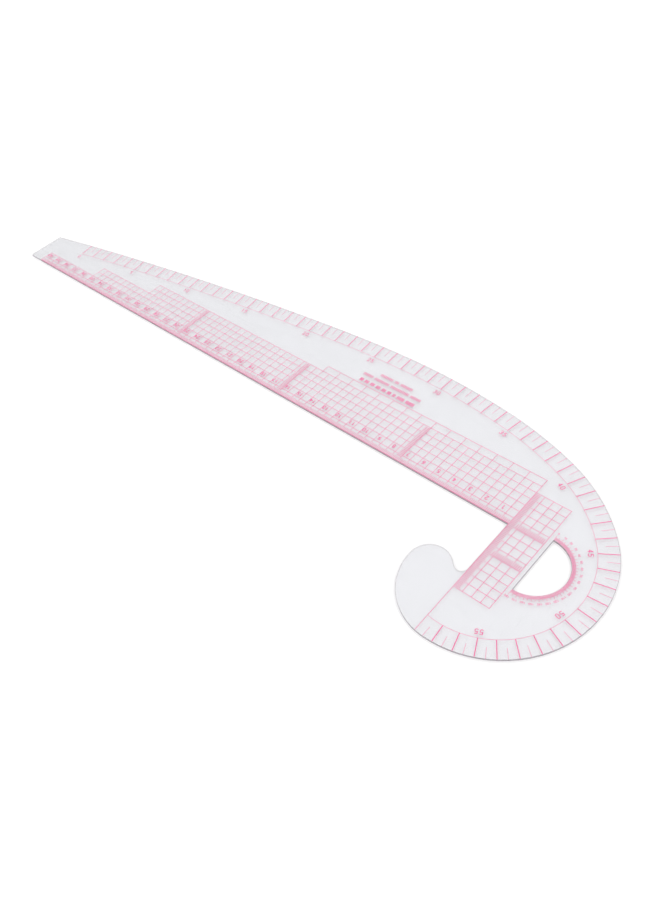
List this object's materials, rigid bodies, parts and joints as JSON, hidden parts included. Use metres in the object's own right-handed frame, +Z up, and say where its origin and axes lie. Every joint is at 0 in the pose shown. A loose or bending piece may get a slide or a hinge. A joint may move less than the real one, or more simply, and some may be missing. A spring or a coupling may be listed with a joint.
{
  "type": "french curve",
  "caption": "Clear flat sheet french curve with a long blade, hooked round end, half-round window and printed straight, curved and angle scales.",
  "frame": {"origin": "middle of the underside's bounding box; the zero of the scales, at the inner corner, is at x 0.1754, y 0.0032", "axes": "+X along the straight edge towards the round end, +Y towards the long curve, +Z up off the table, so the print faces up"},
  "size_m": [0.4732, 0.1434, 0.0012],
  "materials": {
    "clear_plastic": "clear, glossy, with cut and polished edges",
    "ink": "screen-printed pink-red ink"
  },
  "bodies": {
    "root": {"sheet": "clear_plastic", "edge_ticks": "ink", "edge_numerals": "ink", "main_grid": "ink", "grid_bars": "ink", "block_grid": "ink", "block_ticks": "ink", "datum_line": "ink", "curve_ticks": "ink", "curve_numerals": "ink", "degree_ticks": "ink", "degree_numerals": "ink", "name_bars": "ink"}
  },
  "joints": []
}
